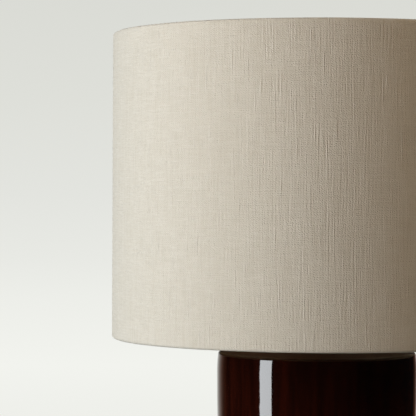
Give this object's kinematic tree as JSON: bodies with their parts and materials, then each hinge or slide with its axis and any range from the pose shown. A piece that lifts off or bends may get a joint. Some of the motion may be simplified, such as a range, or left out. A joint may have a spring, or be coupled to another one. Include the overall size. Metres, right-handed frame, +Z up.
{
  "type": "ceramic table lamp",
  "caption": "Table lamp with a glazed ceramic vase body, a turn-knob socket and a straight linen drum shade held on a harp by a finial.",
  "frame": {"origin": "centre of the felt pad's underside, on the table and on the lamp's upright axis", "axes": "+Z up along the lamp's axis, -Y to the front where the switch knob points, +Y to the cord inlet"},
  "size_m": [0.406, 0.406, 0.6352],
  "materials": {
    "glaze": "thick glossy glaze, brown black with rust red depth",
    "felt": "pressed felt",
    "rubber": "moulded black rubber",
    "nylon": "moulded nylon",
    "zinc_steel": "zinc plated",
    "brass": "satin lacquered",
    "harp_wire": "brass plated, drawn",
    "ferrule_nickel": "nickel plated",
    "fibre": "vulcanised fibre",
    "phenolic": "moulded phenolic",
    "socket_aluminium": "drawn",
    "bulb_nickel": "nickel plated",
    "bulb_black_glass": "fused",
    "opal_glass": "opal white, satin",
    "circuit_board": "white solder mask",
    "led_yellow": "phosphor filled silicone",
    "shade_wire": "ivory powder coat",
    "styrene": "translucent white sheet",
    "linen": "natural linen, slubby plain weave"
  },
  "bodies": {
    "lamp": {"ceramic_body": "glaze", "felt_pad": "felt", "cord_grommet": "rubber", "bottom_washer": "zinc_steel", "bottom_lock_washer": "zinc_steel", "bottom_nut": "zinc_steel", "lamp_pipe": "zinc_steel", "pipe_bushing": "nylon", "neck_washer": "rubber", "neck_cap": "brass", "neck_nut": "brass", "harp_saddle": "harp_wire", "harp_hoop": "harp_wire", "socket_cap": "brass", "cap_set_screw": "ferrule_nickel", "socket_fibre_ring": "fibre", "socket_insulator": "fibre", "socket_shell": "brass", "socket_body": "phenolic", "terminal_screws": "brass", "screw_shell": "socket_aluminium", "center_contact": "brass"},
    "shade": {"harp_stud": "brass", "shade_top_ring": "shade_wire", "shade_bottom_ring": "shade_wire", "shade_liner": "styrene", "shade_spider": "shade_wire", "shade_fabric": "linen"},
    "finial_seat": {"finial_washer": "brass"},
    "finial": {"finial": "brass"},
    "ferrule_left": {"harp_ferrule_left": "ferrule_nickel"},
    "ferrule_right": {"harp_ferrule_right": "ferrule_nickel"},
    "switch": {"switch_shaft": "brass", "switch_knob": "phenolic"},
    "bulb_seat": {"bulb_tip": "bulb_nickel"},
    "bulb": {"bulb_insulator": "bulb_black_glass", "bulb_cap": "bulb_nickel", "bulb_glass": "opal_glass", "bulb_led_board": "circuit_board", "bulb_leds": "led_yellow"}
  },
  "joints": [
    {"name": "shade_swivel", "type": "hinge", "parent": "lamp", "child": "shade", "pos_m": [0, 0, 0.6048], "axis": [0, 0, 1], "continuous": true},
    {"name": "finial_lift", "type": "slide", "parent": "shade", "child": "finial_seat", "axis": [0, 0, 1], "range_m": [0, 0.009]},
    {"name": "finial_turn", "type": "hinge", "parent": "finial_seat", "child": "finial", "pos_m": [0, 0, 0.6105], "axis": [0, 0, 1], "range_deg": [0, 3456]},
    {"name": "ferrule_left_slide", "type": "slide", "parent": "lamp", "child": "ferrule_left", "axis": [0, 0, 1], "range_m": [0, 0.022]},
    {"name": "ferrule_right_slide", "type": "slide", "parent": "lamp", "child": "ferrule_right", "axis": [0, 0, 1], "range_m": [0, 0.022]},
    {"name": "switch_turn", "type": "hinge", "parent": "lamp", "child": "switch", "pos_m": [0, -0.02, 0.3924], "axis": [0, -1, 0], "continuous": true},
    {"name": "bulb_lift", "type": "slide", "parent": "lamp", "child": "bulb_seat", "axis": [0, 0, 1], "range_m": [0, 0.0127]},
    {"name": "bulb_turn", "type": "hinge", "parent": "bulb_seat", "child": "bulb", "pos_m": [0, 0, 0.4061], "axis": [0, 0, 1], "range_deg": [0, 1260]}
  ],
  "couplings": [
    {"joint": "finial_turn", "follows": "finial_lift", "rad_per_m": 6679},
    {"joint": "bulb_turn", "follows": "bulb_lift", "rad_per_m": 1730.9}
  ]
}
